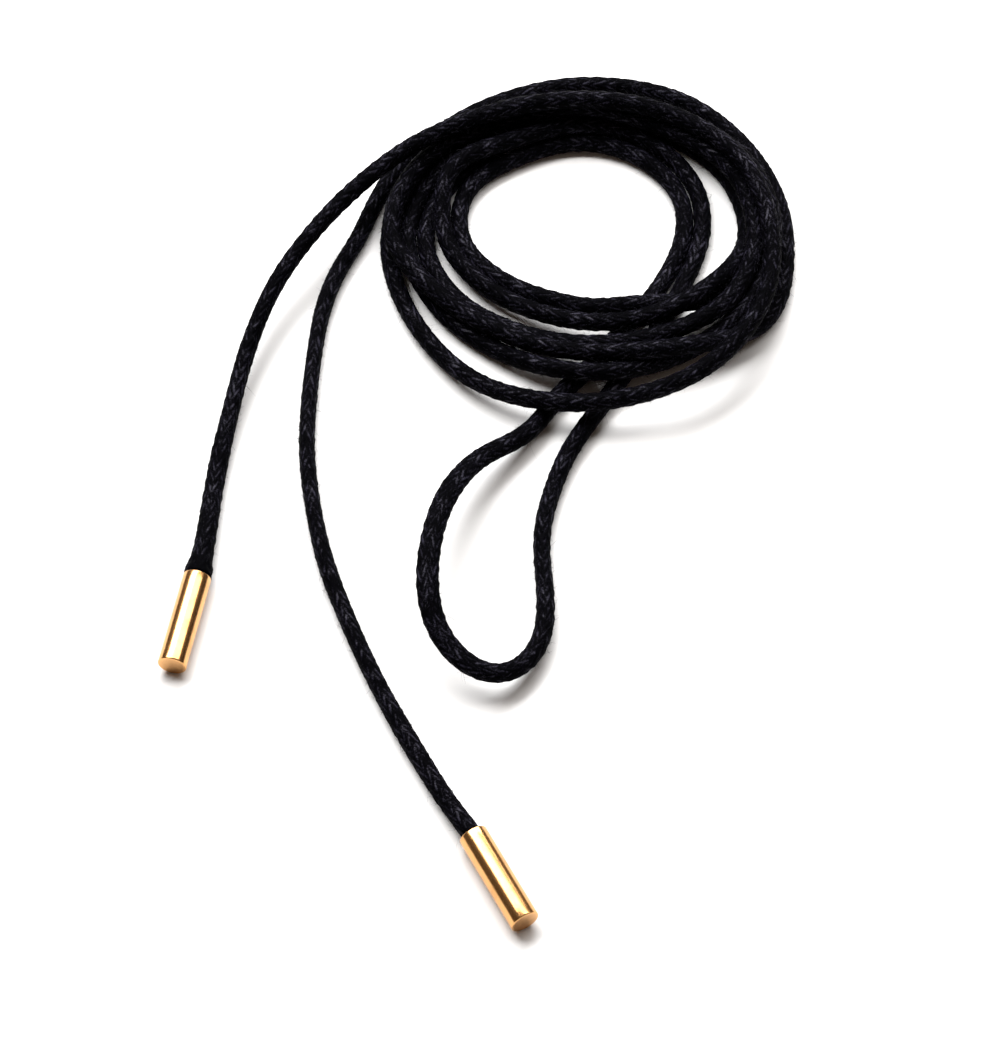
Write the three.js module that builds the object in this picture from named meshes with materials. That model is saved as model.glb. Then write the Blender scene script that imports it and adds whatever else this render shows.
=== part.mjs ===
// A wrap necklace: one long black cord folded in half, the doubled cord wound into a flat coil with
// its fold lying out in front as a loop, and a gold cap on each of the cord's two ends.
// Millimetres, +Z up. It lies on the plane z = 0, with its origin under the middle of its box.

import * as THREE from 'three';

// Driving dimensions
const CORD_DIAMETER = 3.0;
const TUBE_CLEARANCE = 0.15; // the solids are this much slimmer all round, so touching turns stay apart
const TUBE_SIDES = 8;
const TURN_STEP = 4.0; // length of one straight facet of the tube in the coil and the loop
const TAIL_STEP = 7.5; // and in the tails
const JOINT_GAP = 0.3; // between solids that follow each other along the cord

const CAP_DIAMETER = 4.6;
const CAP_LENGTH = 16.6;
const CAP_BEVEL = 0.2;
const CAP_FACETS = 24;
const SOCKET_DIAMETER = 3.6;
const SOCKET_DEPTH = 4.0;

// Where the cord enters each cap, and the way the cap points from there: degrees from straight
// towards the front, positive to the right.
const CAPS = {
  end_cap_left: { mouth: [-45.9, -20.7], turn: -11.1 },
  end_cap_front: { mouth: [-2.2, -66.6], turn: 28.2 },
};

// The coil. Each half of the cord winds clockwise, seen from above, from its tail in to the loop.
// A row is one lap. A column is an hour of a clock face laid on the coil, twelve at the far side.
// A cell is [distance from the coil's middle, height of the cord's middle], or null outside the lap.
const COIL_MIDDLE = [16.4, 46.5];
const CLOCK_HOURS = [9, 10, 11, 12, 1, 2, 3, 4, 5, 6, 7, 8];
const FIRST_HALF = [
  [null, [32.9, 7.9], [27.2, 8.0], [24.7, 9.1], [27.2, 7.1], [29.3, 7.1],
    [30.6, 6.9], [33.3, 7.1], [35.6, 7.0], [35.9, 5.3], [35.0, 2.6], [33.2, 1.5]],
  [[33.2, 1.5], [32.1, 1.5], [30.4, 3.9], [27.9, 4.1], [28.9, 4.4], [31.2, 4.4],
    [31.3, 4.3], [29.6, 2.8], [27.6, 1.5], [29.0, 4.4], [27.1, 1.7], [28.2, 1.5]],
  [[30.1, 1.5], [29.2, 1.5], [28.6, 1.5], [29.4, 1.5], [30.2, 1.5], [31.1, 1.5],
    [30.5, 1.5], [24.6, 2.2], [17.7, 4.6], [13.8, 1.5], [13.8, 1.5], [16.4, 1.5]],
  [[21.0, 1.5], [23.2, 1.5], [21.6, 1.5], [21.9, 1.5], [20.7, 1.5], [19.1, 1.5],
    [16.6, 1.5], null, null, null, null, null],
];
const SECOND_HALF = [
  [null, [35.0, 1.5], [33.7, 1.6], [34.4, 1.5], [35.2, 1.5], [33.9, 1.5],
    [33.3, 1.5], [34.0, 1.5], [28.5, 4.6], [26.2, 5.0], [25.1, 3.5], [28.0, 4.4]],
  [[33.0, 4.4], [31.5, 4.6], [27.5, 4.6], [25.7, 6.2], [26.2, 4.4], [28.1, 4.4],
    [27.9, 4.4], [27.2, 4.0], [24.7, 4.4], [23.1, 3.8], [22.1, 1.5], [24.9, 1.5]],
  [[27.2, 1.5], [26.2, 1.5], [25.6, 1.5], [26.3, 1.5], [27.3, 1.5], [28.2, 1.5],
    [27.5, 1.5], [23.9, 5.0], [21.0, 4.8], [17.9, 2.5], [17.5, 1.8], [19.9, 1.5]],
  [[24.1, 1.5], [27.0, 4.1], [23.6, 3.7], [24.1, 3.6], [24.1, 1.5], [22.1, 1.5],
    [19.5, 1.5], null, null, null, null, null],
];

// The stretches that aren't coiled, as points the cord's middle passes through: [x, y, z].
// The left tail, from its cap up on to the coil.
const LEFT_TAIL = [
  [-45.0, -14.0, 2.0], [-44.4, -6.5, 1.6], [-43.5, 1.9, 1.7], [-41.9, 11.1, 2.7],
  [-39.6, 21.9, 4.4], [-35.9, 32.9, 6.0], [-31.2, 41.5, 7.0], [-23.3, 52.1, 7.8],
];
// The front tail, from its cap to the far left of the coil, where it runs in under the left tail.
const FRONT_TAIL = [
  [-5.6, -61.5, 1.8], [-8.0, -57.3, 1.5], [-12.2, -49.6, 1.5], [-17.3, -39.4, 1.5],
  [-22.1, -27.9, 1.5], [-25.9, -17.0, 1.5], [-28.3, -5.5, 1.5], [-29.4, 4.2, 1.5],
  [-29.3, 14.1, 1.5], [-28.6, 24.1, 1.5], [-27.5, 32.6, 1.5], [-25.1, 40.5, 1.6],
  [-21.9, 47.0, 1.5], [-18.8, 55.7, 1.5],
];
// The loop at the fold: out under the front of the coil, round, and back in under it.
const LOOP = [
  [31.5, 42.5, 1.5], [27.5, 35.2, 1.5], [20.5, 26.1, 1.5], [15.8, 19.7, 1.5], [11.7, 15.7, 1.5],
  [8.7, 10.6, 1.9], [5.8, 6.4, 2.7], [-1.7, 0.0, 5.3], [-6.8, -9.3, 8.0], [-9.2, -19.8, 9.0],
  [-9.4, -27.0, 8.5], [-8.5, -31.5, 7.2], [-5.5, -36.6, 5.8], [0.3, -40.0, 4.5], [4.9, -38.0, 3.1],
  [8.5, -32.4, 2.4], [9.2, -24.9, 2.2], [8.7, -17.1, 1.8], [8.8, -11.5, 1.8], [10.6, -3.8, 1.5],
  [13.4, 3.6, 1.5], [16.2, 8.3, 1.5], [18.7, 12.1, 1.5], [21.8, 16.7, 1.5], [26.5, 24.3, 1.5],
  [30.1, 30.9, 1.5], [32.8, 36.8, 1.5], [34.3, 41.5, 1.5],
];

// How the route settles
const ROUTE_STEP = 1.5; // spacing of the points that settle
const TOUCHING = 3.03; // closest that the middles of two stretches come
const STIFF_STRETCH = 10.0; // stretches nearer than this along the cord don't press on each other
const PUSH_SHARE = 0.65; // part of each overlap that one round takes away, on each side
const SETTLE_ROUNDS = 120;
const LAST_ROUNDS = 6; // these only push apart
const ROUTE_SMOOTHING = 2; // neighbours averaged on each side, in the planned route
const MOVE_SMOOTHING = 3; // and in the moves

/** The way a cap points from its mouth, level. */
function capDirection({ turn }) {
  const angle = THREE.MathUtils.degToRad(turn);
  return new THREE.Vector3(Math.sin(angle), -Math.cos(angle), 0);
}

/** The middle of a cap's mouth, with the cap lying on the surface. */
function capMouth({ mouth: [x, y] }) {
  return new THREE.Vector3(x, y, CAP_DIAMETER / 2);
}

/** The cord's end in a cap: just off the bottom of the socket, and then at its mouth. */
function capEntry(cap) {
  const mouth = capMouth(cap);
  return [mouth.clone().addScaledVector(capDirection(cap), SOCKET_DEPTH - JOINT_GAP / 2), mouth];
}

/** A coil table's cells as points, in the order the cord passes them. */
function lapPoints(laps) {
  return laps.flatMap((lap) => lap.flatMap((cell, column) => {
    if (cell === null) return [];
    const [distance, height] = cell;
    const angle = Math.PI / 2 - CLOCK_HOURS[column] * (Math.PI / 6);
    const x = COIL_MIDDLE[0] + distance * Math.cos(angle);
    const y = COIL_MIDDLE[1] + distance * Math.sin(angle);
    return [new THREE.Vector3(x, y, height)];
  }));
}

/** The planned stretches of the cord in order, each a list of points. */
function plannedStretches() {
  const listed = (points) => points.map((point) => new THREE.Vector3(...point));
  return {
    cord_left_tail: [...capEntry(CAPS.end_cap_left), ...listed(LEFT_TAIL)],
    cord_coil_first_half: lapPoints(FIRST_HALF),
    cord_loop: listed(LOOP),
    cord_coil_second_half: lapPoints(SECOND_HALF).reverse(),
    cord_front_tail: [...capEntry(CAPS.end_cap_front), ...listed(FRONT_TAIL)].reverse(),
  };
}

/** Each point's mean with its neighbours, up to `reach` on each side and fewer near the ends. */
function averaged(points, reach) {
  return points.map((_, i) => {
    const half = Math.min(reach, i, points.length - 1 - i);
    const mean = new THREE.Vector3();
    for (let k = i - half; k <= i + half; k += 1) mean.add(points[k]);
    return mean.divideScalar(2 * half + 1);
  });
}

/** Moves stretches that press into each other apart, once. */
function pushApart(points) {
  const nearest = Math.floor(STIFF_STRETCH / ROUTE_STEP) + 1;
  const pushes = points.map(() => new THREE.Vector3());
  const contacts = points.map(() => 0);
  const away = new THREE.Vector3();
  for (let i = 0; i < points.length; i += 1) {
    for (let j = i + nearest; j < points.length; j += 1) {
      away.subVectors(points[i], points[j]);
      const distance = away.length();
      if (distance >= TOUCHING) continue;
      away.multiplyScalar((TOUCHING - distance) / distance);
      pushes[i].add(away);
      pushes[j].sub(away);
      contacts[i] += 1;
      contacts[j] += 1;
    }
  }
  points.forEach((point, i) => {
    point.addScaledVector(pushes[i], PUSH_SHARE / Math.max(contacts[i], 1));
  });
}

/** Raises what lies below the surface until the cord rests on it. */
function layOnSurface(points) {
  for (const point of points) point.z = Math.max(point.z, CORD_DIAMETER / 2);
}

/** Lets the planned route settle, so that each turn lies beside and on the others. Stretches that
    overlap are pushed apart a little at a time. After each push the moves are averaged along the
    cord, as its own stiffness does. */
function settled(planned) {
  const points = planned.map((point) => point.clone());
  for (let round = 0; round < SETTLE_ROUNDS; round += 1) {
    pushApart(points);
    if (round < SETTLE_ROUNDS - LAST_ROUNDS) {
      const moves = points.map((point, i) => point.clone().sub(planned[i]));
      averaged(moves, MOVE_SMOOTHING).forEach((move, i) => points[i].addVectors(planned[i], move));
    }
    layOnSurface(points);
  }
  return points;
}

/** The cord's whole route, cut into its named stretches: { name: [points] }. */
function cordRoute() {
  const stretches = plannedStretches();
  const controls = Object.values(stretches).flat();
  const curve = new THREE.CatmullRomCurve3(controls);
  const divisions = 24; // of each span, to measure its length
  curve.arcLengthDivisions = divisions * (controls.length - 1);
  const lengths = curve.getLengths();
  const count = Math.round(curve.getLength() / ROUTE_STEP);
  const planned = averaged(curve.getSpacedPoints(count), ROUTE_SMOOTHING);
  layOnSurface(planned);
  const route = settled(planned);

  const cut = {};
  let control = 0;
  let from = 0;
  for (const [name, points] of Object.entries(stretches)) {
    control += points.length;
    const end = lengths[Math.min(control, controls.length - 1) * divisions];
    const to = Math.round((end / curve.getLength()) * count);
    cut[name] = route.slice(from, to + 1);
    from = to;
  }
  return cut;
}

/** The eight-sided section of the cord's tube. */
function tubeSection() {
  const radius = CORD_DIAMETER / 2 - TUBE_CLEARANCE;
  const corners = Array.from({ length: TUBE_SIDES }, (_, side) => {
    const angle = ((side + 0.5) / TUBE_SIDES) * 2 * Math.PI;
    return new THREE.Vector2(radius * Math.cos(angle), radius * Math.sin(angle));
  });
  return new THREE.Shape(corners);
}

/** A tube along the points, stopping half a joint's gap short of each end. */
function cordTube(points, step) {
  const curve = new THREE.CatmullRomCurve3(points);
  curve.arcLengthDivisions = 4 * points.length;
  const length = curve.getLength();
  const steps = Math.round(length / step);
  const trim = JOINT_GAP / 2 / length;
  const centres = Array.from({ length: steps + 1 }, (_, k) => (
    curve.getPointAt(THREE.MathUtils.lerp(trim, 1 - trim, k / steps))
  ));
  const extrudePath = new THREE.CatmullRomCurve3(centres);
  return new THREE.ExtrudeGeometry(tubeSection(), { steps, extrudePath, bevelEnabled: false });
}

/** A round cap closed by a flat end, with a socket for the cord. Its mouth is at the origin and its
    flat end at -Y. */
function capGeometry() {
  const radius = CAP_DIAMETER / 2;
  const profile = [
    [0, -CAP_LENGTH],
    [radius - CAP_BEVEL, -CAP_LENGTH],
    [radius, CAP_BEVEL - CAP_LENGTH],
    [radius, -CAP_BEVEL],
    [radius - CAP_BEVEL, 0],
    [SOCKET_DIAMETER / 2, 0],
    [SOCKET_DIAMETER / 2, -SOCKET_DEPTH],
    [0, -SOCKET_DEPTH],
  ];
  return new THREE.LatheGeometry(profile.map(([x, y]) => new THREE.Vector2(x, y)), CAP_FACETS);
}

/** One stretch of the waxed cord as a named piece. */
function cordPiece(name, points) {
  const step = name.endsWith('tail') ? TAIL_STEP : TURN_STEP;
  const waxedCotton = new THREE.MeshStandardMaterial({ color: 0x16161b, roughness: 0.6, metalness: 0 });
  const piece = new THREE.Mesh(cordTube(points, step), waxedCotton);
  piece.name = name;
  return piece;
}

/** One end cap, lying on the surface. */
function capPiece(name, cap) {
  const gold = new THREE.MeshStandardMaterial({ color: 0xe9b46c, roughness: 0.16, metalness: 1 });
  const piece = new THREE.Mesh(capGeometry(), gold);
  piece.name = name;
  piece.position.copy(capMouth(cap));
  piece.rotation.z = THREE.MathUtils.degToRad(cap.turn);
  return piece;
}

const group = new THREE.Group();
for (const [name, points] of Object.entries(cordRoute())) group.add(cordPiece(name, points));
for (const [name, cap] of Object.entries(CAPS)) group.add(capPiece(name, cap));

export default group;
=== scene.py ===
"""The looks of a wrap necklace that lies on a pale table: one long black waxed cord, folded in half
and wound into a coil with the fold out in front as a loop, and a gold cap on each of its two ends.
The caps, the cord and its fibres are worked out in millimetres and turned to metres as each mesh is
made. The camera, the table and the lights are placed in metres."""
import math

import bpy
import numpy as np
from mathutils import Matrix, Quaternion, Vector


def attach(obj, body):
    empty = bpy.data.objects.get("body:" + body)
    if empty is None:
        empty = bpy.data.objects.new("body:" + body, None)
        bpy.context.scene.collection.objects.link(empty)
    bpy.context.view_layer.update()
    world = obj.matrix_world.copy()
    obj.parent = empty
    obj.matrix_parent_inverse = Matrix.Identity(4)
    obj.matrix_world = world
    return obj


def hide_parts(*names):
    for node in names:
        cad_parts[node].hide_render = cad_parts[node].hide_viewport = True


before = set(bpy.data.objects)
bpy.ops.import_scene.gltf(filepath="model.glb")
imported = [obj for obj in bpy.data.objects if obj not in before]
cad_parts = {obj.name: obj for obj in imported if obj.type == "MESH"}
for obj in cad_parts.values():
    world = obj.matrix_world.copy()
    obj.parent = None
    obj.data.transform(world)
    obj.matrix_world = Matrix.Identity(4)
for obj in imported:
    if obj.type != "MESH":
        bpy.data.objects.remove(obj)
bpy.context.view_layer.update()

# The camera. It stands in front of the necklace and looks down at it, from about arm's length and
# through a long lens.
CAMERA_TARGET = (0.0019, -0.0105, 0.0)
CAMERA_DISTANCE = 0.560
CAMERA_TILT = math.radians(57.0)  # below level
CAMERA_LENS = 118.6
SENSOR_WIDTH = 36.0

camera_data = bpy.data.cameras.new("camera")
camera_data.lens = CAMERA_LENS
camera_data.sensor_width = SENSOR_WIDTH
camera = bpy.data.objects.new("camera", camera_data)
camera.location = (
    CAMERA_TARGET[0],
    CAMERA_TARGET[1] - CAMERA_DISTANCE * math.cos(CAMERA_TILT),
    CAMERA_TARGET[2] + CAMERA_DISTANCE * math.sin(CAMERA_TILT),
)
camera.rotation_euler = (math.pi / 2 - CAMERA_TILT, 0.0, 0.0)
bpy.context.scene.collection.objects.link(camera)
bpy.context.scene.camera = camera

# The end caps. Each is a short round tube of polished brass with a gold finish, closed by a flat
# disc at one end, with its sharp edges broken. The cord is glued into the open end.
CAP_DIAMETER = 4.6
CAP_LENGTH = 16.6
CAP_EDGE = 0.2  # radius of the broken outer edges
LIP_EDGE = 0.12  # and of the mouth's inner edge
SOCKET_DIAMETER = 3.6
SOCKET_DEPTH = 4.0
SOCKET_CORNER = 0.02  # size of the cut corner between the socket's wall and its bottom
CAP_SIDES = 96
EDGE_POINTS = 6  # round each broken edge
WALL_POINTS = 12  # down the outside
DISC_RIM = 0.5  # width of the outermost ring of the flat end
PINHOLE = 0.01  # radius of the face in the middle of the flat end, and of the socket's bottom
CAPS = {  # where the cord goes in, and degrees from straight to the front, positive to the right
    "end_cap_left": {"mouth": (-45.9, -20.7), "turn": -11.1},
    "end_cap_front": {"mouth": (-2.2, -66.6), "turn": 28.2},
}
GOLD_COLOUR = (0.73, 0.39, 0.15, 1.0)
GOLD_DEEP = (0.53, 0.27, 0.095, 1.0)  # in faint blotches
MM = 0.001  # metres
UP = np.array([0.0, 0.0, 1.0])


def tube_mesh(name, points, run=None):
    """One mesh of closed tubes, from their points as tubes x rings x sides x 3 in millimetres. Each
    cell between two rings and two neighbouring sides is a face, the last side meets the first, and
    a face closes each end of each tube. For a single tube, run may give how far along it each ring
    is: the map "run" then holds that distance in metres, and the turns round from 0 to 1."""
    tubes, rings, sides = points.shape[:3]
    tube = np.arange(tubes)[:, None, None] * rings * sides
    ring = np.arange(rings - 1)[None, :, None] * sides
    here = np.arange(sides)
    following = (here + 1) % sides
    cells = np.stack([tube + ring + here, tube + ring + following,
                      tube + ring + sides + following, tube + ring + sides + here], axis=-1)
    first_ends = tube[:, 0] + here
    last_ends = first_ends + (rings - 1) * sides
    corners = np.concatenate([cells.ravel(), first_ends[:, ::-1].ravel(), last_ends.ravel()])
    sizes = np.concatenate([np.full(cells.size // 4, 4), np.full(2 * tubes, sides)])
    starts = np.concatenate([[0], np.cumsum(sizes)[:-1]])
    mesh = bpy.data.meshes.new(name)
    mesh.vertices.add(points.size // 3)
    mesh.vertices.foreach_set("co", (points * MM).astype(np.float32).ravel())
    mesh.loops.add(len(corners))
    mesh.loops.foreach_set("vertex_index", corners.astype(np.int32))
    mesh.polygons.add(len(sizes))
    mesh.polygons.foreach_set("loop_start", starts.astype(np.int32))
    mesh.polygons.foreach_set("loop_total", sizes.astype(np.int32))
    mesh.polygons.foreach_set("use_smooth", np.ones(len(sizes), bool))
    if run is not None:
        turns = np.linspace(0, 1, sides + 1)
        uv = np.stack(np.meshgrid(run * MM, turns, indexing="ij"), axis=-1)
        cell_uv = np.stack([uv[:-1, :-1], uv[:-1, 1:], uv[1:, 1:], uv[1:, :-1]], axis=2)
        corner_uv = np.concatenate([cell_uv.reshape(-1, 2), uv[0, :-1][::-1], uv[-1, :-1]])
        layer = mesh.uv_layers.new(name="run")
        layer.data.foreach_set("uv", corner_uv.astype(np.float32).ravel())
    mesh.update(calc_edges=True)
    mesh.validate()
    piece = bpy.data.objects.new(name, mesh)
    bpy.context.scene.collection.objects.link(piece)
    return piece


def distance_along(points):
    """The length of the line through the points from the first one to each."""
    return np.concatenate([[0], np.cumsum(np.linalg.norm(np.diff(points, axis=0), axis=1))])


def quarter(centre, radius, start, end):
    """An arc of the profile: the centre plus the radius times (cosine, sine) of an angle that goes
    from start to end, in degrees."""
    angle = np.radians(np.linspace(start, end, EDGE_POINTS))
    x = centre[0] + radius * np.cos(angle)
    y = centre[1] + radius * np.sin(angle)
    return np.stack([x, y], axis=1)


def cap_profile():
    """Half of the cap's section as (distance from the axis, height along it) with its mouth at 0:
    from the bottom of the socket, up its wall, over the rounded lip, down the outside and round the
    bottom edge to the middle of the flat end."""
    outer, inner = CAP_DIAMETER / 2, SOCKET_DIAMETER / 2
    wall = np.linspace(-CAP_EDGE, CAP_EDGE - CAP_LENGTH, WALL_POINTS)[1:-1]
    return np.concatenate([
        [[PINHOLE, -SOCKET_DEPTH], [inner - SOCKET_CORNER, -SOCKET_DEPTH]],
        [[inner, -SOCKET_DEPTH + SOCKET_CORNER]],
        quarter((inner + LIP_EDGE, -LIP_EDGE), LIP_EDGE, 180, 90),
        quarter((outer - CAP_EDGE, -CAP_EDGE), CAP_EDGE, 90, 0),
        np.stack([np.full(len(wall), outer), wall], axis=1),
        quarter((outer - CAP_EDGE, CAP_EDGE - CAP_LENGTH), CAP_EDGE, 0, -90),
        [[outer - DISC_RIM, -CAP_LENGTH], [outer / 2, -CAP_LENGTH], [PINHOLE, -CAP_LENGTH]],
    ])


def cap_axis(turn):
    """The way a cap points from its mouth, level, and the level way square to it: (sine, -cosine)
    and (cosine, sine) of its turn."""
    angle = math.radians(turn)
    along = np.array([math.sin(angle), -math.cos(angle), 0.0])
    across = np.array([math.cos(angle), math.sin(angle), 0.0])
    return along, across


def cap_piece(name, mouth, turn):
    """The profile turned about the cap's axis: a point is the middle of the mouth, minus its height
    times the way the cap points, plus its distance times (cosine, sine) of the angle round the
    axis. The turns go backwards, so that the faces point outwards."""
    profile = cap_profile()
    along, across = cap_axis(turn)
    angle = np.linspace(0, 2 * np.pi, CAP_SIDES, endpoint=False)
    ring = np.cos(angle)[:, None] * across + np.sin(angle)[:, None] * UP
    middle = np.array([*mouth, CAP_DIAMETER / 2])
    points = middle - profile[:, None, 1:] * along + profile[:, None, :1] * ring
    return tube_mesh(name, points[None, :, ::-1], distance_along(profile))


def new_material(name, **values):
    """A material with only its Principled shader and an output. A value is set on the shader's own
    input of that name, with spaces for underscores."""
    material = bpy.data.materials.new(name)
    material.use_nodes = True
    shader = material.node_tree.nodes["Principled BSDF"]
    for label, value in values.items():
        shader.inputs[label.replace("_", " ")].default_value = value
    return material, shader


def link(material, source, target):
    """Joins an output of one of the material's nodes to an input of another."""
    material.node_tree.links.new(source, target)


def add_node(material, kind, **values):
    """One shader node, its properties set by name and its inputs by label."""
    node = material.node_tree.nodes.new(kind)
    for key, value in values.items():
        if hasattr(node, key):
            setattr(node, key, value)
        else:
            node.inputs[key.replace("_", " ")].default_value = value
    return node


def noise(material, place, scale, detail, roughness=0.5):
    """Noise about 0.5 at the place, with about scale lumps to each unit of length there."""
    node = add_node(material, "ShaderNodeTexNoise", Scale=scale, Detail=detail, Roughness=roughness)
    link(material, place, node.inputs["Vector"])
    return node.outputs["Fac"]


def spread(material, value, source=(0.0, 1.0), target=(0.0, 1.0)):
    """The value, with its range source spread evenly over the range target and held at the ends."""
    node = add_node(material, "ShaderNodeMapRange", From_Min=source[0], From_Max=source[1],
                    To_Min=target[0], To_Max=target[1])
    link(material, value, node.inputs["Value"])
    return node.outputs["Result"]


def blend(material, share, first, second):
    """share of the second colour, and the rest of the first."""
    node = add_node(material, "ShaderNodeMix", data_type="RGBA")
    node.inputs[6].default_value = first  # the Mix node's own numbers for its colour sockets
    node.inputs[7].default_value = second
    link(material, share, node.inputs[0])
    return node.outputs[2]


gold, gold_shader = new_material("polished_gold", Metallic=1.0)
gold_place = add_node(gold, "ShaderNodeTexCoord").outputs["Object"]
gold_blotches = noise(gold, gold_place, scale=420.0, detail=3.0, roughness=0.6)
gold_tone = blend(gold, spread(gold, gold_blotches, source=(0.50, 0.80)), GOLD_COLOUR, GOLD_DEEP)
gold_roughness = spread(gold, gold_blotches, target=(0.16, 0.26))
link(gold, gold_tone, gold_shader.inputs["Base Color"])
link(gold, gold_roughness, gold_shader.inputs["Roughness"])

for cap_name, cap in CAPS.items():
    gold_cap = cap_piece(cap_name.replace("end_cap", "gold_cap"), cap["mouth"], cap["turn"])
    gold_cap.data.materials.append(gold)
    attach(gold_cap, "root")
    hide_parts(cap_name)

# The cord. One piece of round braided cotton, dyed black and waxed, folded in half at the loop.
# Each half winds clockwise from its tail in to the loop, and its end is glued into a cap.
CORD_DIAMETER = 3.0
CORD_SIDES = 20
RING_STEP = 0.37  # spacing of the mesh's rings along the cord
END_GAP = 0.15  # between the cord's end and the bottom of its socket
COIL_MIDDLE = (16.4, 46.5)
CLOCK_HOURS = (9, 10, 11, 12, 1, 2, 3, 4, 5, 6, 7, 8)
OUT = (np.nan, np.nan)  # a cell outside its lap
# A row is a lap. A column is an hour of the clock face laid on the coil, twelve at the far side.
# A cell is (distance from the coil's middle, height of the cord's middle).
FIRST_HALF = np.array([
    [OUT, (32.9, 7.9), (27.2, 8.0), (24.7, 9.1), (27.2, 7.1), (29.3, 7.1),
     (30.6, 6.9), (33.3, 7.1), (35.6, 7.0), (35.9, 5.3), (35.0, 2.6), (33.2, 1.5)],
    [(33.2, 1.5), (32.1, 1.5), (30.4, 3.9), (27.9, 4.1), (28.9, 4.4), (31.2, 4.4),
     (31.3, 4.3), (29.6, 2.8), (27.6, 1.5), (29.0, 4.4), (27.1, 1.7), (28.2, 1.5)],
    [(30.1, 1.5), (29.2, 1.5), (28.6, 1.5), (29.4, 1.5), (30.2, 1.5), (31.1, 1.5),
     (30.5, 1.5), (24.6, 2.2), (17.7, 4.6), (13.8, 1.5), (13.8, 1.5), (16.4, 1.5)],
    [(21.0, 1.5), (23.2, 1.5), (21.6, 1.5), (21.9, 1.5), (20.7, 1.5), (19.1, 1.5),
     (16.6, 1.5), OUT, OUT, OUT, OUT, OUT],
])
SECOND_HALF = np.array([
    [OUT, (35.0, 1.5), (33.7, 1.6), (34.4, 1.5), (35.2, 1.5), (33.9, 1.5),
     (33.3, 1.5), (34.0, 1.5), (28.5, 4.6), (26.2, 5.0), (25.1, 3.5), (28.0, 4.4)],
    [(33.0, 4.4), (31.5, 4.6), (27.5, 4.6), (25.7, 6.2), (26.2, 4.4), (28.1, 4.4),
     (27.9, 4.4), (27.2, 4.0), (24.7, 4.4), (23.1, 3.8), (22.1, 1.5), (24.9, 1.5)],
    [(27.2, 1.5), (26.2, 1.5), (25.6, 1.5), (26.3, 1.5), (27.3, 1.5), (28.2, 1.5),
     (27.5, 1.5), (23.9, 5.0), (21.0, 4.8), (17.9, 2.5), (17.5, 1.8), (19.9, 1.5)],
    [(24.1, 1.5), (27.0, 4.1), (23.6, 3.7), (24.1, 3.6), (24.1, 1.5), (22.1, 1.5),
     (19.5, 1.5), OUT, OUT, OUT, OUT, OUT],
])
# The left tail from its cap up on to the coil, the front tail from its cap to the far left of the
# coil, and the loop: out under the front of the coil, round, and back in under it.
LEFT_TAIL = np.array([
    (-45.0, -14.0, 2.0), (-44.4, -6.5, 1.6), (-43.5, 1.9, 1.7), (-41.9, 11.1, 2.7),
    (-39.6, 21.9, 4.4), (-35.9, 32.9, 6.0), (-31.2, 41.5, 7.0), (-23.3, 52.1, 7.8),
])
FRONT_TAIL = np.array([
    (-5.6, -61.5, 1.8), (-8.0, -57.3, 1.5), (-12.2, -49.6, 1.5), (-17.3, -39.4, 1.5),
    (-22.1, -27.9, 1.5), (-25.9, -17.0, 1.5), (-28.3, -5.5, 1.5), (-29.4, 4.2, 1.5),
    (-29.3, 14.1, 1.5), (-28.6, 24.1, 1.5), (-27.5, 32.6, 1.5), (-25.1, 40.5, 1.6),
    (-21.9, 47.0, 1.5), (-18.8, 55.7, 1.5),
])
LOOP = np.array([
    (31.5, 42.5, 1.5), (27.5, 35.2, 1.5), (20.5, 26.1, 1.5), (15.8, 19.7, 1.5),
    (11.7, 15.7, 1.5), (8.7, 10.6, 1.9), (5.8, 6.4, 2.7), (-1.7, 0.0, 5.3),
    (-6.8, -9.3, 8.0), (-9.2, -19.8, 9.0), (-9.4, -27.0, 8.5), (-8.5, -31.5, 7.2),
    (-5.5, -36.6, 5.8), (0.3, -40.0, 4.5), (4.9, -38.0, 3.1), (8.5, -32.4, 2.4),
    (9.2, -24.9, 2.2), (8.7, -17.1, 1.8), (8.8, -11.5, 1.8), (10.6, -3.8, 1.5),
    (13.4, 3.6, 1.5), (16.2, 8.3, 1.5), (18.7, 12.1, 1.5), (21.8, 16.7, 1.5),
    (26.5, 24.3, 1.5), (30.1, 30.9, 1.5), (32.8, 36.8, 1.5), (34.3, 41.5, 1.5),
])
ROUTE_STEP = 1.5  # spacing of the points that settle
ROUTE_DIVISIONS = 24  # of each span of the drawn curve
ROUTE_SMOOTHING = 2  # neighbours on each side that a point is averaged with
MOVE_SMOOTHING = 3  # and that a move is
TOUCHING = 3.03  # closest that the middles of two stretches come
STIFF_STRETCH = 10.0  # stretches nearer than this along the cord don't press on each other
MOST_MOVED = 2.0  # no point settles further than this from where it was planned
PUSH_SHARE = 0.65  # of an overlap, taken away in one round
SETTLE_ROUNDS = 120
LAST_ROUNDS = 6  # of them, in which moves aren't averaged
BATCH = 200  # points whose distances to all the others are worked out at a time


def cap_entry(name):
    """The cord's end in a cap: just off the bottom of the socket, and then at its mouth."""
    along, _ = cap_axis(CAPS[name]["turn"])
    mouth = np.array([*CAPS[name]["mouth"], CAP_DIAMETER / 2])
    return np.array([mouth + (SOCKET_DEPTH - END_GAP) * along, mouth])


def lap_points(laps):
    """A coil table as points in the order the cord passes them: the coil's middle plus the
    distance times (cosine, sine) of 90 degrees less 30 for each hour, at the cell's height."""
    angle = np.pi / 2 - np.array(CLOCK_HOURS) * (np.pi / 6)
    x = COIL_MIDDLE[0] + laps[:, :, 0] * np.cos(angle)
    y = COIL_MIDDLE[1] + laps[:, :, 0] * np.sin(angle)
    points = np.stack([x, y, laps[:, :, 1]], axis=-1).reshape(-1, 3)
    return points[~np.isnan(points[:, 0])]


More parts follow.
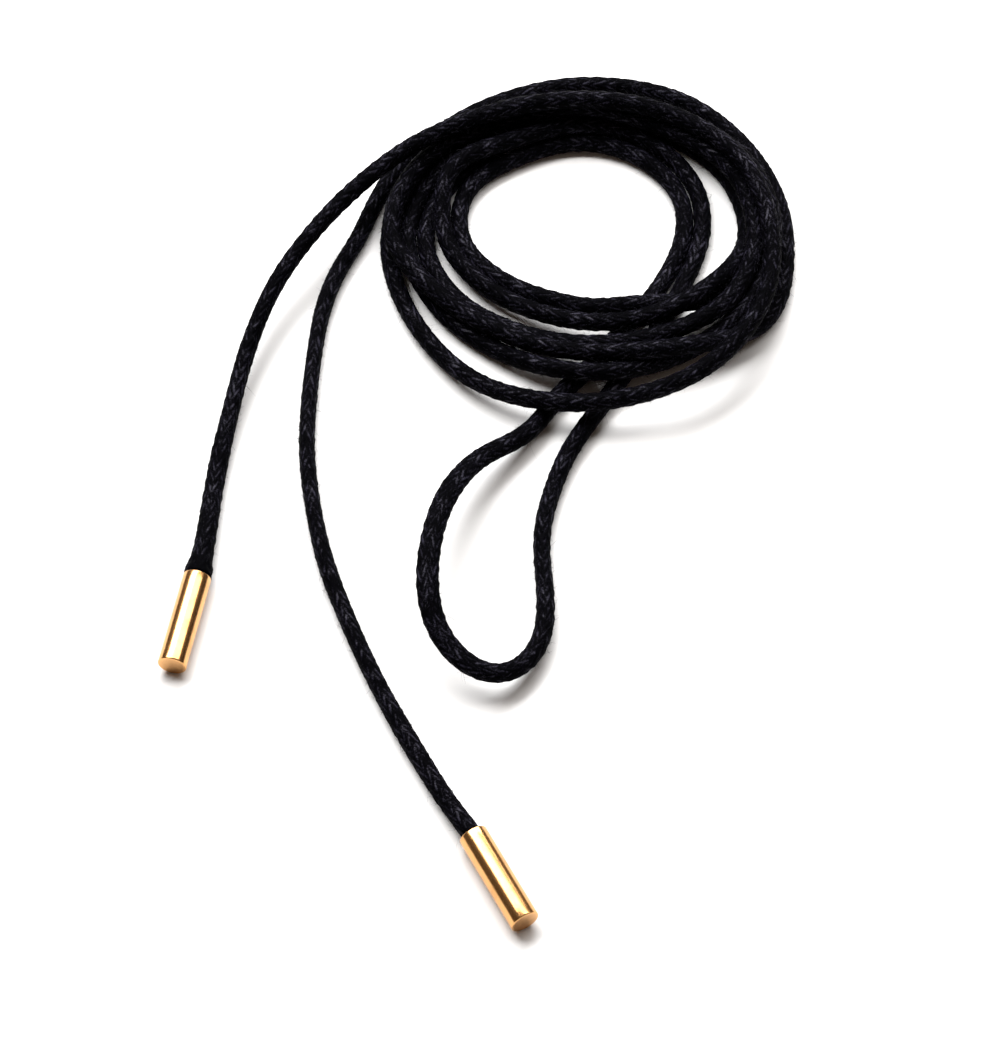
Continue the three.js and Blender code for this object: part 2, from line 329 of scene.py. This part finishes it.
def drawn_curve(points, divisions):
    """A centripetal Catmull-Rom curve through the points. Each span is the cubic with these slopes
    at its two ends: the slopes of the parabola through a point and its two neighbours, when the
    parameter grows by the root of the distance from one point to the next. Past each end stands a
    point that mirrors the last one's neighbour."""
    ends = [2 * points[:1] - points[1:2], points, 2 * points[-1:] - points[-2:-1]]
    p = np.concatenate(ends)
    p0, p1, p2, p3 = p[:-3], p[1:-2], p[2:-1], p[3:]
    d0, d1, d2 = (np.linalg.norm(b - a, axis=1)[:, None] ** 0.5
                  for a, b in ((p0, p1), (p1, p2), (p2, p3)))
    slope1 = ((p1 - p0) / d0 - (p2 - p0) / (d0 + d1) + (p2 - p1) / d1) * d1
    slope2 = ((p2 - p1) / d1 - (p3 - p1) / (d1 + d2) + (p3 - p2) / d2) * d1
    t = np.linspace(0, 1, divisions, endpoint=False)[None, :, None]
    p1, p2, slope1, slope2 = (a[:, None, :] for a in (p1, p2, slope1, slope2))
    spans = (p1 + slope1 * t + (3 * (p2 - p1) - 2 * slope1 - slope2) * t ** 2
             + (2 * (p1 - p2) + slope1 + slope2) * t ** 3)
    return np.concatenate([spans.reshape(-1, 3), points[-1:]])


def evenly_spaced(points, step):
    """Points at equal distances of about step along the line through the points."""
    run = distance_along(points)
    places = np.linspace(0, run[-1], round(run[-1] / step) + 1)
    return np.stack([np.interp(places, run, points[:, axis]) for axis in range(3)], axis=1)


def averaged(points, reach):
    """Each point's mean with its neighbours, up to reach on each side and fewer near the ends."""
    total = np.concatenate([np.zeros((1, 3)), np.cumsum(points, axis=0)])
    i = np.arange(len(points))
    half = np.minimum(reach, np.minimum(i, len(points) - 1 - i))
    return (total[i + half + 1] - total[i - half]) / (2 * half + 1)[:, None]


def settled(planned):
    """The route with each turn lying beside and on the others. Stretches that overlap are pushed
    apart a little at a time, and after each push the moves are averaged along the cord."""
    nearest = math.floor(STIFF_STRETCH / ROUTE_STEP) + 1
    reach = TOUCHING + 2 * MOST_MOVED  # only such pairs can ever meet
    first, second = [], []
    for start in range(0, len(planned), BATCH):
        part = planned[start:start + BATCH]
        gap = np.linalg.norm(part[:, None, :] - planned[None, :, :], axis=2)
        i, j = np.nonzero(gap < reach)
        keep = j >= i + start + nearest
        first.append(i[keep] + start)
        second.append(j[keep])
    first, second = np.concatenate(first), np.concatenate(second)
    points = planned.copy()
    for round_number in range(SETTLE_ROUNDS):
        away = points[first] - points[second]
        gap = np.linalg.norm(away, axis=1)
        near = gap < TOUCHING
        push = away[near] * ((TOUCHING - gap[near]) / gap[near])[:, None]
        pushes = np.zeros_like(points)
        np.add.at(pushes, first[near], push)
        np.subtract.at(pushes, second[near], push)
        contacts = np.bincount(first[near], minlength=len(points))
        contacts = contacts + np.bincount(second[near], minlength=len(points))
        points = points + pushes * (PUSH_SHARE / np.maximum(contacts, 1))[:, None]
        if round_number < SETTLE_ROUNDS - LAST_ROUNDS:
            points = planned + averaged(points - planned, MOVE_SMOOTHING)
        points[:, 2] = np.maximum(points[:, 2], CORD_DIAMETER / 2)
    return points


def cord_route():
    """The middle of the whole cord from the left cap to the front cap, settled."""
    planned = np.concatenate([
        cap_entry("end_cap_left"), LEFT_TAIL, lap_points(FIRST_HALF), LOOP,
        lap_points(SECOND_HALF)[::-1], FRONT_TAIL[::-1], cap_entry("end_cap_front")[::-1],
    ])
    planned = evenly_spaced(drawn_curve(planned, ROUTE_DIVISIONS), ROUTE_STEP)
    planned = averaged(planned, ROUTE_SMOOTHING)
    planned[:, 2] = np.maximum(planned[:, 2], CORD_DIAMETER / 2)
    return settled(planned)


STRANDS = 4  # groups of yarns that go each way round in the braid
STRAND_PITCH = 2.8  # along the cord, from one group to the next that goes the same way
STRAND_HEIGHT = 0.055  # above and below the mean surface
LUMP_HEIGHT = 0.045
LUMP_SEED = 7
LUMP_WAVES = 9
LUMP_ROUNDS = 4  # most waves of a lump pattern round the cord
LUMP_PITCHES = (1.1, 2.4)
LUMP_GAIN = 2.2  # spreads the mean of the waves out to about -1 to 1
# How the cord is pressed out of round. At a distance along it, the level half-width is this share
# more than the mean, and the upright one less. It wanders a little besides, all along the cord.
PRESSED = np.array([
    (0, 0.03), (25, 0.05), (38, -0.06), (62, -0.09), (74, -0.14), (88, -0.08), (110, 0.0),
    (700, 0.0), (738, 0.03), (758, 0.17), (790, 0.18), (803, 0.04), (824, -0.10), (836, -0.03),
    (860, 0.0), (1470, 0.0), (1500, -0.06), (1512, -0.14), (1548, -0.13), (1575, -0.07),
    (1600, 0.0), (1618, 0.0),
], dtype=[("run", float), ("share", float)])
PRESSED_WANDER = {"size": 0.03, "seed": 5, "lengths": (31.0, 53.0, 87.0)}
WIDTH_WANDER = {"size": 0.025, "seed": 6, "lengths": (17.0, 29.0, 41.0)}
SWELL = {  # at each cap: share more than the mean, and the length that it fades in
    "end_cap_left": ((0.42, 3.0), (0.11, 12.0)),
    "end_cap_front": ((0.05, 2.5),),
}


def braid_height(run, turns):
    """How far the braid's strands stand out, from -1 to 1. The strands that go one way are ridges
    of cos(2 pi (n t + s / p)), the others of cos(2 pi (n t - s / p)), and cos(2 pi n t) says which
    of them lies on top there, with n strands each way, pitch p, turns t round and run s along."""
    right = np.cos(2 * np.pi * (STRANDS * turns + run / STRAND_PITCH))
    left = np.cos(2 * np.pi * (STRANDS * turns - run / STRAND_PITCH))
    right_over = 0.5 + 0.5 * np.cos(2 * np.pi * STRANDS * turns)
    return right_over * right + (1 - right_over) * left


def cord_frames(middle):
    """For each point of the route: the level way square to it, and the way square to both."""
    ahead = np.gradient(middle, axis=0)
    ahead = ahead / np.linalg.norm(ahead, axis=1)[:, None]
    side = np.cross(ahead, UP)
    side = side / np.linalg.norm(side, axis=1)[:, None]
    return side, np.cross(side, ahead)


def wander(run, size, seed, lengths):
    """A slow change along the cord, of up to size each way: size times the mean of sines of these
    lengths, each started at a seeded place."""
    start = np.random.default_rng(seed).uniform(0, 2 * np.pi, len(lengths))
    return size * np.mean([np.sin(2 * np.pi * run / n + a) for n, a in zip(lengths, start)], axis=0)


def lumps(run, turns):
    """Uneven yarn, mostly from -1 to 1: the mean of cosines of 2 pi (n t + s / p) + a, with t turns
    round and s along, small whole numbers n, lengths p of one to two millimetres and starts a, all
    of them seeded."""
    random = np.random.default_rng(LUMP_SEED)
    rounds = random.integers(-LUMP_ROUNDS, LUMP_ROUNDS + 1, LUMP_WAVES)
    pitches = random.uniform(*LUMP_PITCHES, LUMP_WAVES)
    starts = random.uniform(0, 2 * np.pi, LUMP_WAVES)
    return np.mean([np.cos(2 * np.pi * (n * turns + run / p) + a)
                    for n, p, a in zip(rounds, pitches, starts)], axis=0) * LUMP_GAIN


def cord_surface(middle):
    """The cord as rings about its middle: the radius times (cosine, sine) of the angle in the two
    ways square to the route. The radius is half the diameter, times 1 plus the pressed share times
    the cosine of twice the angle, plus the braid's height and the lumps, plus a swelling at each
    cap. What would be under the table is flattened on it."""
    run = distance_along(middle)
    side, up = cord_frames(middle)
    turns = np.linspace(0, 1, CORD_SIDES, endpoint=False)
    angle = 2 * np.pi * turns[None, :]
    pressed = np.interp(run, PRESSED["run"], PRESSED["share"]) + wander(run, **PRESSED_WANDER)
    width = 1 + wander(run, **WIDTH_WANDER)
    radius = CORD_DIAMETER / 2 * (width[:, None] + pressed[:, None] * np.cos(2 * angle))
    radius = radius + STRAND_HEIGHT * braid_height(run[:, None], turns[None, :])
    radius = radius + LUMP_HEIGHT * lumps(run[:, None], turns[None, :])
    entry = SOCKET_DEPTH - END_GAP
    for place, swell in zip((run - entry, run[-1] - entry - run), SWELL.values()):
        grown = 1 + sum(share * np.exp(-(place / fade) ** 2) for share, fade in swell)
        radius = radius * np.where(place > 0, grown, 1.0)[:, None]
    points = (middle[:, None, :] + (radius * np.cos(angle))[:, :, None] * side[:, None, :]
              + (radius * np.sin(angle))[:, :, None] * up[:, None, :])
    points[:, :, 2] = np.maximum(points[:, :, 2], 0.0)
    return points


RING_DIVISIONS = 6  # of each step of the settled route
cord_middle = drawn_curve(averaged(cord_route(), reach=1), RING_DIVISIONS)
cord_middle = averaged(evenly_spaced(cord_middle, RING_STEP), reach=2)
cord_run = distance_along(cord_middle)
cord_points = cord_surface(cord_middle)
cord = tube_mesh("waxed_cord", cord_points[None], cord_run)

# Its braid is in the material too. The stitches stand in columns round the cord, and the yarns in
# them lean right in one column and left in the next.
# The cord's colour holds painted light: painted highlights on the yarns' tops, painted shade where
# they dive.
COLUMNS = 5  # of stitches round the cord that lean each way
COLUMN_WANDER = 5.0  # radians that the place of a column wanders over
COLUMN_BLEND = 0.45  # how soft the change from one column to the next is
YARNS = 11  # round the cord that go each way
YARN_TURN = 24.0  # length in which a yarn goes once round
YARN_DIVE = 0.6  # share of a yarn's height that is gone where it dives under the next column
YARN_GRAIN = 1.2  # streaks per millimetre across a yarn
STITCH_GRAIN = 0.5  # and along it
YARN_HIGHLIGHT = 0.85  # painted highlight that the top of a yarn gives
FIBRE_TONE = 0.5  # and that a speck of fibre adds
FIBRE_BUMP = 0.9
FIBRE_GRAIN = 4200.0  # specks per metre
PATCH_GRAIN = 300.0  # patches per metre, in which the painted highlights are stronger or weaker
DRIFT_GRAIN = 900.0  # bends of a column's edge per metre
LEAST_PATCH_STRENGTH = 0.35  # added to a patch's strength, before the tone is multiplied by that
# Low tones are near black, with painted shade in the grooves; high tones are painted highlights.
COTTON_AND_HIGHLIGHT_SHADES = (  # place on the scale of tone, and the colour there
    (0.0, (0.0001, 0.0001, 0.0003)),
    (0.35, (0.0008, 0.0007, 0.0015)),
    (0.9, (0.021, 0.0195, 0.031)),
)

waxed, waxed_shader = new_material("waxed_cotton", Roughness=0.7, Specular_IOR_Level=0.015,
                                   Coat_Roughness=0.35, Coat_IOR=1.45)


def maths(operation, *values):
    """One Math node of the waxed cotton. A number is set on its socket, and a socket is linked."""
    node = add_node(waxed, "ShaderNodeMath", operation=operation)
    for socket, value in zip(node.inputs, values):
        if isinstance(value, (int, float)):
            socket.default_value = value
        else:
            link(waxed, value, socket)
    return node.outputs["Value"]


def ridges(angle, count, shift):
    """Ridges across the angle, count to the turn: half of 1 plus the cosine of it."""
    turned = maths("MULTIPLY_ADD", angle, count, shift)
    return maths("MULTIPLY_ADD", maths("COSINE", turned), 0.5, 0.5)


def streaks(angle, stitch_place):
    """Streaks that run along the yarns: noise at a place that is (cosine, sine) of the yarn's own
    angle, times the cord's radius and the grain across it, and the slower grain along it."""
    place = add_node(waxed, "ShaderNodeCombineXYZ")
    for axis, operation in (("X", "COSINE"), ("Y", "SINE")):
        across = maths("MULTIPLY", maths(operation, angle), CORD_DIAMETER / 2 * YARN_GRAIN)
        link(waxed, across, place.inputs[axis])
    link(waxed, stitch_place, place.inputs["Z"])
    return noise(waxed, place.outputs["Vector"], scale=1.0, detail=2.0, roughness=0.6)


def either(share, first, second):
    """share of the first value and the rest of the second."""
    kept = maths("MULTIPLY", share, first)
    return maths("MULTIPLY_ADD", maths("SUBTRACT", 1.0, share), second, kept)


def colour_scale(material, value, shades):
    """The colour at the value on a scale from 0 to 1. Each shade is a place on the scale and the
    colour there, and between two places the colour goes evenly from one to the other."""
    node = add_node(material, "ShaderNodeValToRGB")
    marks = node.color_ramp.elements
    for place, _ in shades[1:-1]:
        marks.new(place)
    for mark, (place, colour) in zip(marks, shades):
        mark.position = place
        mark.color = (*colour, 1.0)
    link(material, value, node.inputs["Fac"])
    return node.outputs["Color"]


waxed_run = add_node(waxed, "ShaderNodeSeparateXYZ")
link(waxed, add_node(waxed, "ShaderNodeUVMap", uv_map="run").outputs["UV"],
     waxed_run.inputs["Vector"])
along, turns = waxed_run.outputs["X"], waxed_run.outputs["Y"]
waxed_place = add_node(waxed, "ShaderNodeTexCoord").outputs["Object"]
patches = noise(waxed, waxed_place, PATCH_GRAIN, detail=2.0, roughness=0.55)
drift = noise(waxed, waxed_place, DRIFT_GRAIN, detail=2.0, roughness=0.6)
fibres = noise(waxed, waxed_place, FIBRE_GRAIN, detail=2.0, roughness=0.7)

round_angle = maths("MULTIPLY", turns, 2 * math.pi)
turned_angle = maths("MULTIPLY", along, 2 * math.pi / MM / YARN_TURN)
right_angle = maths("ADD", round_angle, turned_angle)
left_angle = maths("SUBTRACT", round_angle, turned_angle)
wobble = maths("MULTIPLY_ADD", drift, COLUMN_WANDER, -COLUMN_WANDER / 2)
column = maths("COSINE", maths("MULTIPLY_ADD", round_angle, COLUMNS, wobble))
right_over = spread(waxed, column, source=(-COLUMN_BLEND, COLUMN_BLEND))
column_middle = maths("MULTIPLY", column, column)  # 0 at the edge, where the yarns dive under
stitch_place = maths("MULTIPLY", along, STITCH_GRAIN / MM)
yarn = either(right_over, ridges(right_angle, YARNS, 0.0), ridges(left_angle, YARNS, 1.0))
streak = either(right_over, streaks(right_angle, stitch_place), streaks(left_angle, stitch_place))
height = maths("MULTIPLY", yarn, maths("MULTIPLY_ADD", column_middle, YARN_DIVE, 1 - YARN_DIVE))

# Which streaks carry a painted highlight; the fibre specks and the patches vary it at random.
highlight_share = spread(waxed, streak, source=(0.30, 0.70))
grain = spread(waxed, fibres, source=(0.36, 0.68))
patch_strength = spread(waxed, patches, source=(0.34, 0.66), target=(0.18, 0.82))
# Painted light: a highlight on each yarn's top, painted shade where it dives, plus fibre specks.
highlight_and_speck_tone = maths("MULTIPLY", maths("MULTIPLY", height, highlight_share), YARN_HIGHLIGHT)
highlight_and_speck_tone = maths("MULTIPLY_ADD", grain, FIBRE_TONE, highlight_and_speck_tone)
highlight_and_speck_tone = maths("MULTIPLY", highlight_and_speck_tone, maths("ADD", patch_strength, LEAST_PATCH_STRENGTH))
wax_film = spread(waxed, highlight_and_speck_tone, source=(0.40, 0.90), target=(0.0, 0.15))
waxed_bump = add_node(waxed, "ShaderNodeBump", Strength=0.9, Distance=0.00010)
relief = maths("ADD", height, maths("MULTIPLY", fibres, FIBRE_BUMP))
link(waxed, relief, waxed_bump.inputs["Height"])
link(waxed, waxed_bump.outputs["Normal"], waxed_shader.inputs["Normal"])
link(waxed, wax_film, waxed_shader.inputs["Coat Weight"])
link(waxed, colour_scale(waxed, highlight_and_speck_tone, COTTON_AND_HIGHLIGHT_SHADES), waxed_shader.inputs["Base Color"])
cord.data.materials.append(waxed)

CORD_NODES = ("cord_left_tail", "cord_coil_first_half", "cord_loop", "cord_coil_second_half",
              "cord_front_tail")
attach(cord, "root")
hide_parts(*CORD_NODES)

# The fuzz. Ends of cotton fibres that the wax hasn't laid down: fine tapering hairs that stand out
# all along the cord, most of them short and close to it, and a few long and stray.
FUZZ = np.array([
    # piece, hairs, seed, width, shortest, mean of what is added to that, how far it stands out as
    # a share of its length, and rings
    ("cotton_fuzz", 13000, 11, 0.065, 0.14, 0.17, 1.1, 3),
    ("stray_fibres", 800, 12, 0.045, 0.70, 0.60, 0.8, 6),
], dtype=[("name", "U16"), ("count", int), ("seed", int), ("width", float), ("shortest", float),
          ("spread", float), ("lift", float), ("rings", int)])
FUZZ_SIDES = 3
FUZZ_LONGEST = 2.4
FUZZ_LIFTS = (0.4, 1.8)  # least and most of the share by which a hair stands out
FUZZ_BEND = 0.4  # spread of the sideways bend, as a share of the length
FUZZ_TIP = 0.25  # width at the tip, as a share of the width at the root
FUZZ_FREE = 14  # rings at each end of the cord, in and by the caps, that have no hairs
LINT_SHADES = (
    (0.0, (0.004, 0.004, 0.006)),
    (1.0, (0.035, 0.034, 0.044)),
)


def fuzz_points(middle, surface, hair):
    """Hairs as rings of a few points: a hair starts on the surface, at a seeded ring and side of
    the cord, and its middle line is start + length (u (ahead + lift out) + u^2 bend), with u from 0
    to 1, ahead along the cord, out away from its middle and bend a seeded sideways way. Its
    half-width shrinks evenly from the root to the tip."""
    random = np.random.default_rng(hair["seed"])
    count = hair["count"]
    ring = random.integers(FUZZ_FREE, len(surface) - FUZZ_FREE, count)
    side = random.integers(0, surface.shape[1], count)
    start = surface[ring, side]
    out = start - middle[ring]
    out = out / np.linalg.norm(out, axis=1)[:, None]
    ahead = middle[ring + 1] - middle[ring - 1]
    ahead = ahead / np.linalg.norm(ahead, axis=1)[:, None] * random.choice([-1, 1], count)[:, None]
    length = np.minimum(hair["shortest"] + random.exponential(hair["spread"], count), FUZZ_LONGEST)
    lift = hair["lift"] * random.uniform(*FUZZ_LIFTS, count)
    bend = random.normal(0, FUZZ_BEND, (count, 3))
    u = np.linspace(0, 1, hair["rings"])[None, :, None]
    line = start[:, None] + length[:, None, None] * (
        u * (ahead + lift[:, None] * out)[:, None] + u ** 2 * bend[:, None])
    half = hair["width"] / 2 * (1 - (1 - FUZZ_TIP) * u)
    line[..., 2] = np.maximum(line[..., 2], half[..., 0])
    angle = np.linspace(0, 2 * np.pi, FUZZ_SIDES, endpoint=False)[:, None, None]
    ways = np.cos(angle) * np.cross(out, ahead) + np.sin(angle) * out
    return line[:, :, None] + half[..., None] * ways.transpose(1, 0, 2)[:, None]


lint, lint_shader = new_material("cotton_lint", Roughness=0.8, Specular_IOR_Level=0.1)
lint_place = add_node(lint, "ShaderNodeTexCoord").outputs["Object"]
lint_tone = noise(lint, lint_place, scale=700.0, detail=1.0)
link(lint, colour_scale(lint, lint_tone, LINT_SHADES), lint_shader.inputs["Base Color"])

for hair in FUZZ:
    fuzz = tube_mesh(str(hair["name"]), fuzz_points(cord_middle, cord_points, hair))
    fuzz.data.materials.append(lint)
    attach(fuzz, "root")

# The table. A wide flat board with a matt white face, which the necklace lies on. It isn't part of
# the necklace. It lies a hair's breadth lower, so that the cord's flattened underside shows no
# face in common with it.
TABLE_SIZE = 3.0
TABLE_DROP = 0.00002  # below the necklace
TABLE_COLOUR = (0.86, 0.86, 0.86, 1.0)
bpy.ops.mesh.primitive_plane_add(size=TABLE_SIZE, location=(0.0, 0.0, -TABLE_DROP))
table = bpy.context.object
table.name = "table"
board, _ = new_material("white_board", Base_Color=TABLE_COLOUR, Roughness=0.9,
                        Specular_IOR_Level=0.1)
table.data.materials.append(board)

# The light. The main panel stands behind the necklace, a little to the left. A long narrow one
# hangs nearly overhead, and the caps reflect it as pale bands. The room is dim and warm, which
# shows as the brown between those bands and in the depth of the shadows.
PANEL_DISTANCE = 0.9  # from the necklace
ROOM_COLOUR = (1.0, 0.76, 0.60, 1.0)
ROOM_STRENGTH = 0.10
PANELS = np.array([
    # panel, way to it from the necklace, degrees that it is turned about that way, its width and
    # depth, watts and colour
    ("panel_behind", (-0.20, 0.85, 1.0), 25.0, (1.4, 0.42), 21.0, (1.0, 1.0, 1.0)),
    ("panel_above", (0.15, 0.40, 1.0), 22.0, (1.5, 0.28), 7.6, (1.0, 0.98, 0.96)),
], dtype=[("name", "U16"), ("way", float, 3), ("roll", float), ("size", float, 2),
          ("power", float), ("colour", float, 3)])

for light in PANELS:
    panel_data = bpy.data.lights.new(str(light["name"]), "AREA")
    panel_data.shape = "RECTANGLE"
    panel_data.size, panel_data.size_y = light["size"]
    panel_data.energy = light["power"]
    panel_data.color = light["colour"]
    panel = bpy.data.objects.new(str(light["name"]), panel_data)
    way = Vector(light["way"]).normalized()
    panel.location = way * PANEL_DISTANCE
    roll = Quaternion(UP, math.radians(light["roll"]))
    panel.rotation_euler = (way.to_track_quat("Z", "Y") @ roll).to_euler()
    bpy.context.scene.collection.objects.link(panel)

room = bpy.data.worlds.new("room")
room.use_nodes = True
background = room.node_tree.nodes["Background"]
background.inputs["Color"].default_value = ROOM_COLOUR
background.inputs["Strength"].default_value = ROOM_STRENGTH
bpy.context.scene.world = room

bpy.context.scene.view_settings.view_transform = "Standard"
bpy.context.scene.view_settings.look = "None"
